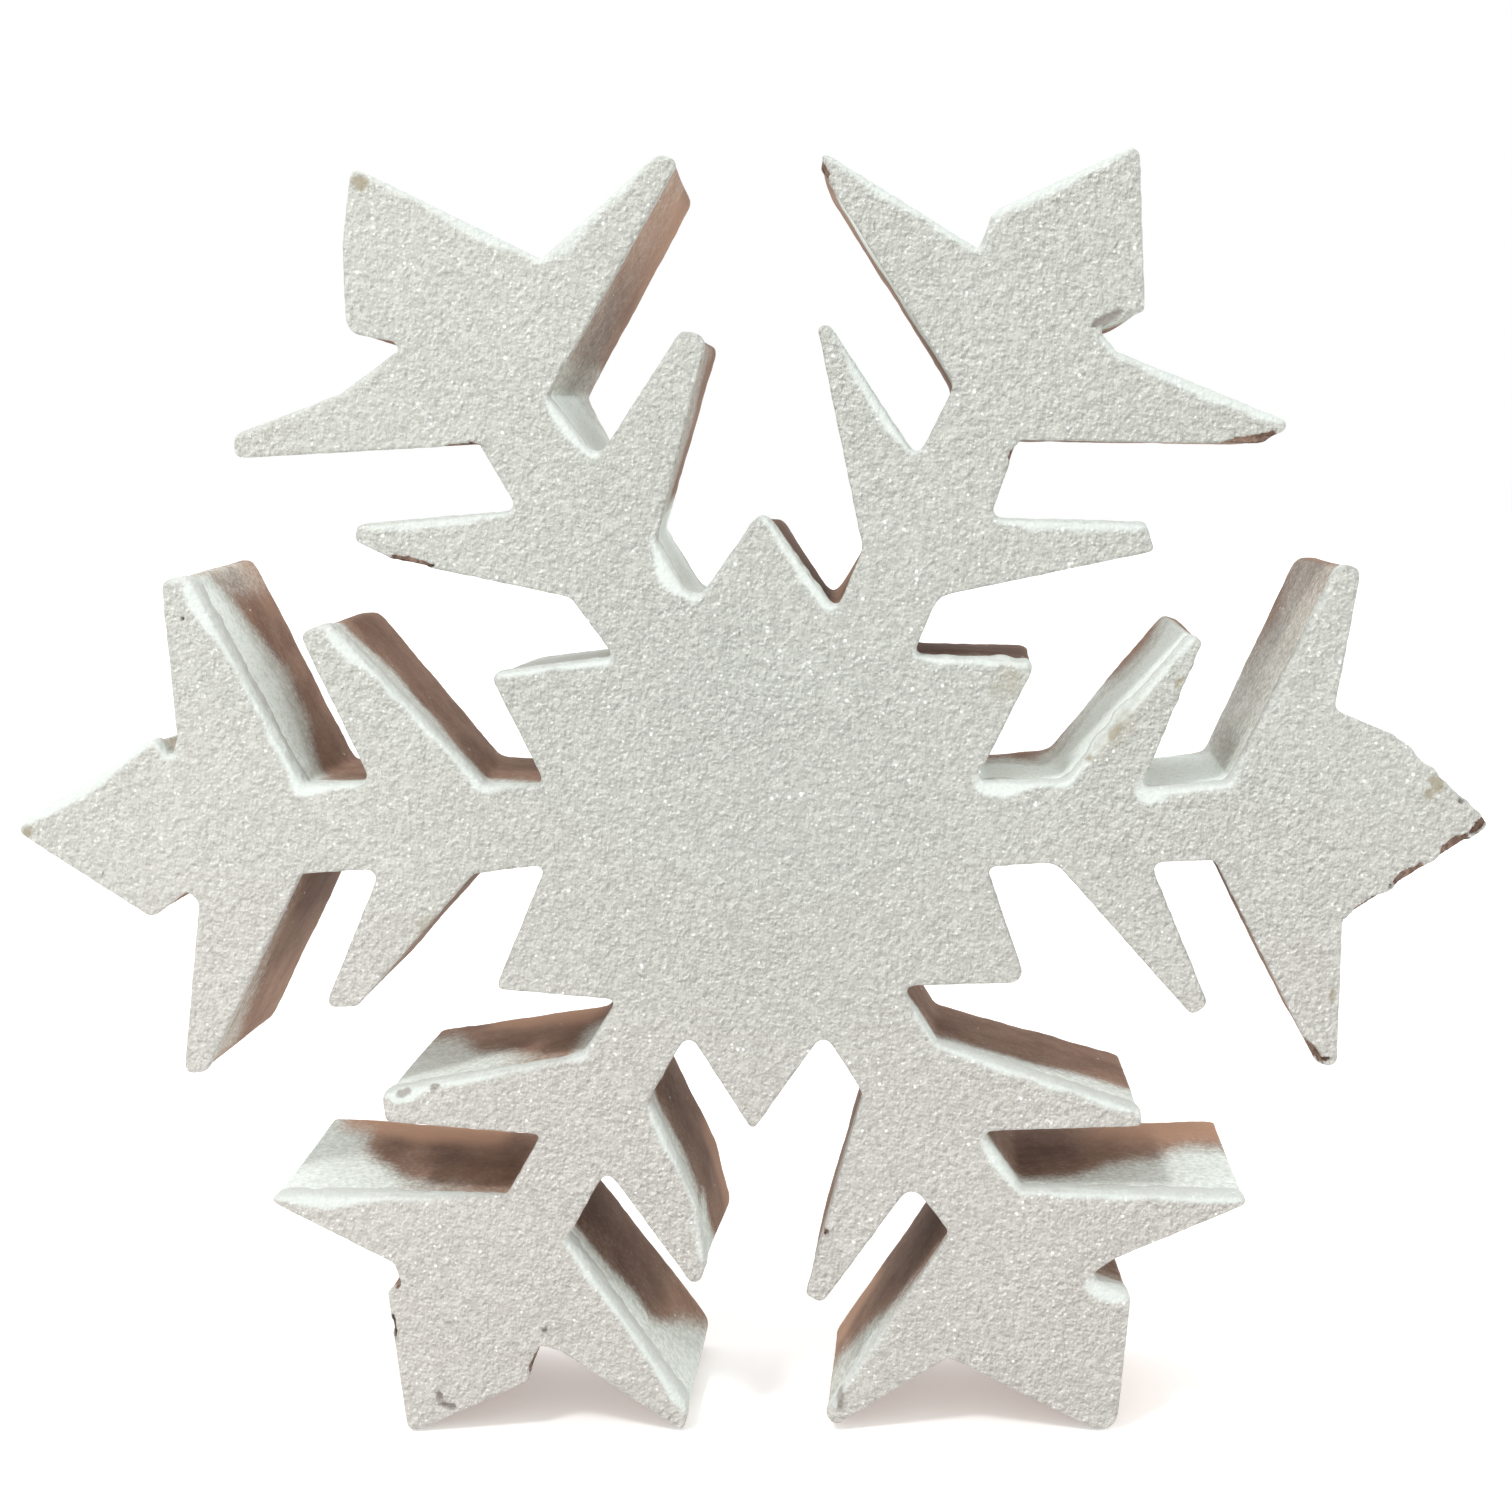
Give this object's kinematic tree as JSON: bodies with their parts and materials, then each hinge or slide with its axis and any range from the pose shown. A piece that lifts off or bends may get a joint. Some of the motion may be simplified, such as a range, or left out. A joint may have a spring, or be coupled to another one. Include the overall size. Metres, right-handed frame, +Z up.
{
  "type": "snowflake_star_decoration",
  "caption": "Thick free-standing snowflake star sawn from fibreboard, its front face coated in silver-white glitter paint, for a shelf or table at Christmas",
  "frame": {"origin": "the middle of the snowflake on its flat back face, where the centre lines of the six arms meet", "axes": "+X runs across the snowflake, with +Y straight into its back face, from the front towards the rear, and +Z up towards the star point between the two upper arms"},
  "size_m": [0.1241, 0.0189, 0.1089],
  "materials": {
    "board": "raw sawn fibreboard with pale overspray",
    "glitter": "coarse silver-white glitter paint"
  },
  "bodies": {
    "root": {"snowflake_board": "board", "glitter_coat": "glitter"}
  },
  "joints": []
}
